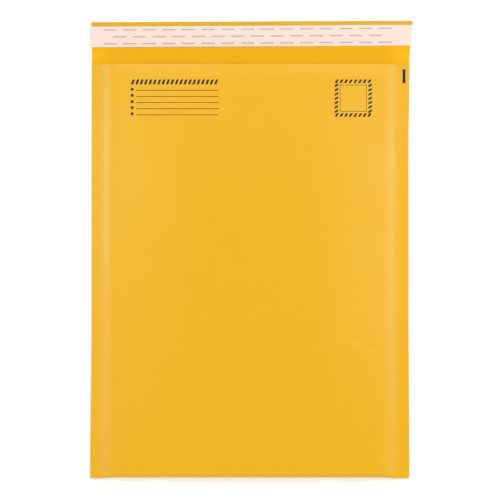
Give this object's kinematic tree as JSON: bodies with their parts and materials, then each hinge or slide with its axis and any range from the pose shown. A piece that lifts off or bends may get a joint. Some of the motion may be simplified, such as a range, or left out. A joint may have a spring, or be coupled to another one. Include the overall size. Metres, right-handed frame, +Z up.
{
  "type": "padded envelope",
  "caption": "Empty kraft mailing envelope with a bubble film lining, flat welded side seams, a folded foot and an open flap with a seal strip under its release liner.",
  "frame": {"origin": "centre of the box's underside, on the surface that the envelope lies on", "axes": "+X across the envelope to the right as seen from the front panel, +Y towards the flap, +Z up out of the front panel"},
  "size_m": [0.2954, 0.4186, 0.0126],
  "materials": {
    "golden_kraft": "golden kraft paper, satin, faint fibres",
    "bubble_film": "clear to milky polythene bubble film",
    "hot_melt": "tacky pale hot-melt band",
    "release_paper": "pale pink siliconed paper, smooth"
  },
  "bodies": {
    "root": {"kraft_cover": "golden_kraft", "bubble_lining": "bubble_film", "adhesive_strip": "hot_melt", "release_liner": "release_paper"}
  },
  "joints": []
}
